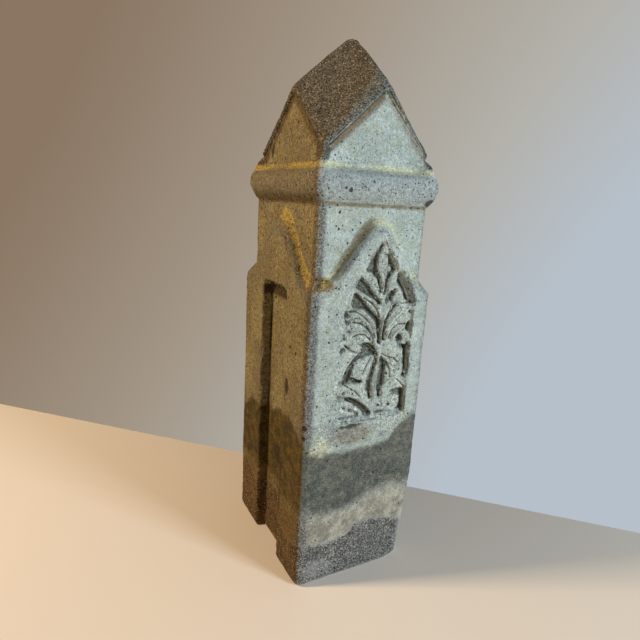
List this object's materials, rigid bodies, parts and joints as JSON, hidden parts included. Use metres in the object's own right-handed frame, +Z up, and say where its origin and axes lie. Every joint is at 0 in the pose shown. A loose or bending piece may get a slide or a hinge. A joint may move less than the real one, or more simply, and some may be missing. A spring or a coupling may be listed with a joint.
{
  "type": "pier finial",
  "caption": "Cast stone pier finial: a shaft slotted on two sides for edging slabs, with a sunk leaf panel, a banded neck and a four-gabled helm cap.",
  "frame": {"origin": "middle of the foot's outline, on the ground it stands on", "axes": "+Z up along the shaft, -Y out of the leaf panel, and the two slabs' slots in the -X and +X faces"},
  "size_m": [0.1406, 0.1738, 0.557],
  "materials": {
    "cast_stone": "weathered cast stone: exposed sandy aggregate, pores, pale grey-green and golden lichen, and a dark damp band above the ground"
  },
  "bodies": {
    "root": {"pier_finial": "cast_stone"}
  },
  "joints": []
}
